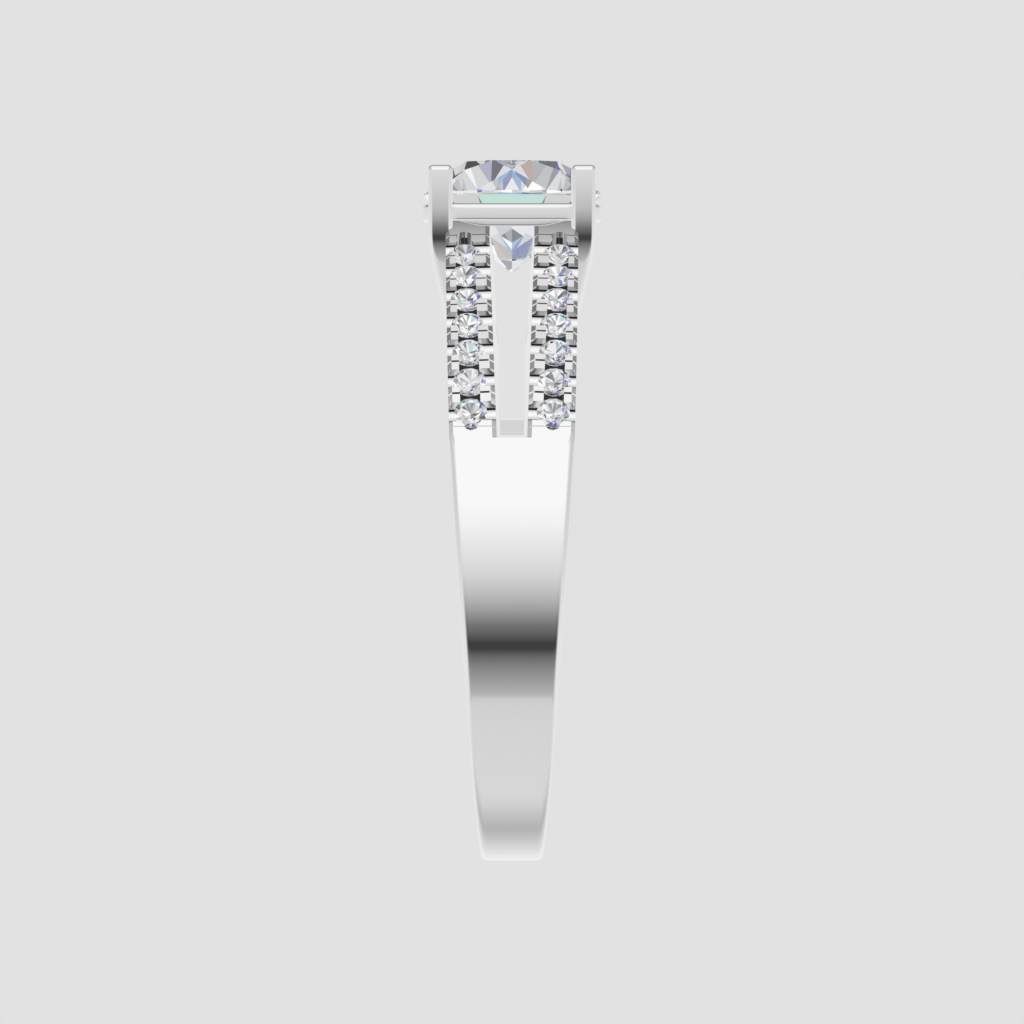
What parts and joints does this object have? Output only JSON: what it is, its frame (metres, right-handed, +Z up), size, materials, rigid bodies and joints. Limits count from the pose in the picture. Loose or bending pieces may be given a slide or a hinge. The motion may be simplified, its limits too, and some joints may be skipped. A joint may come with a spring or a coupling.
{
  "type": "engagement ring",
  "caption": "Polished white-metal ring lying on its side, with a tapered band, split shoulders set with small brilliants, a gallery rail and straight claws holding a large round brilliant.",
  "frame": {"origin": "middle of the ring's footprint on the surface that it lies on", "axes": "+X from the back of the band towards the head, +Y across the finger hole, +Z up from the surface"},
  "size_m": [0.0238, 0.0202, 0.0061],
  "materials": {
    "white_gold": "high polish",
    "diamond": "polished facets"
  },
  "bodies": {
    "root": {"ring_mount": "white_gold", "centre_diamond": "diamond", "side_diamond_11": "diamond", "side_diamond_12": "diamond", "side_diamond_13": "diamond", "side_diamond_14": "diamond", "side_diamond_15": "diamond", "side_diamond_16": "diamond", "side_diamond_17": "diamond", "side_diamond_21": "diamond", "side_diamond_22": "diamond", "side_diamond_23": "diamond", "side_diamond_24": "diamond", "side_diamond_25": "diamond", "side_diamond_26": "diamond", "side_diamond_27": "diamond", "side_diamond_31": "diamond", "side_diamond_32": "diamond", "side_diamond_33": "diamond", "side_diamond_34": "diamond", "side_diamond_35": "diamond", "side_diamond_36": "diamond", "side_diamond_37": "diamond", "side_diamond_41": "diamond", "side_diamond_42": "diamond", "side_diamond_43": "diamond", "side_diamond_44": "diamond", "side_diamond_45": "diamond", "side_diamond_46": "diamond", "side_diamond_47": "diamond"}
  },
  "joints": []
}
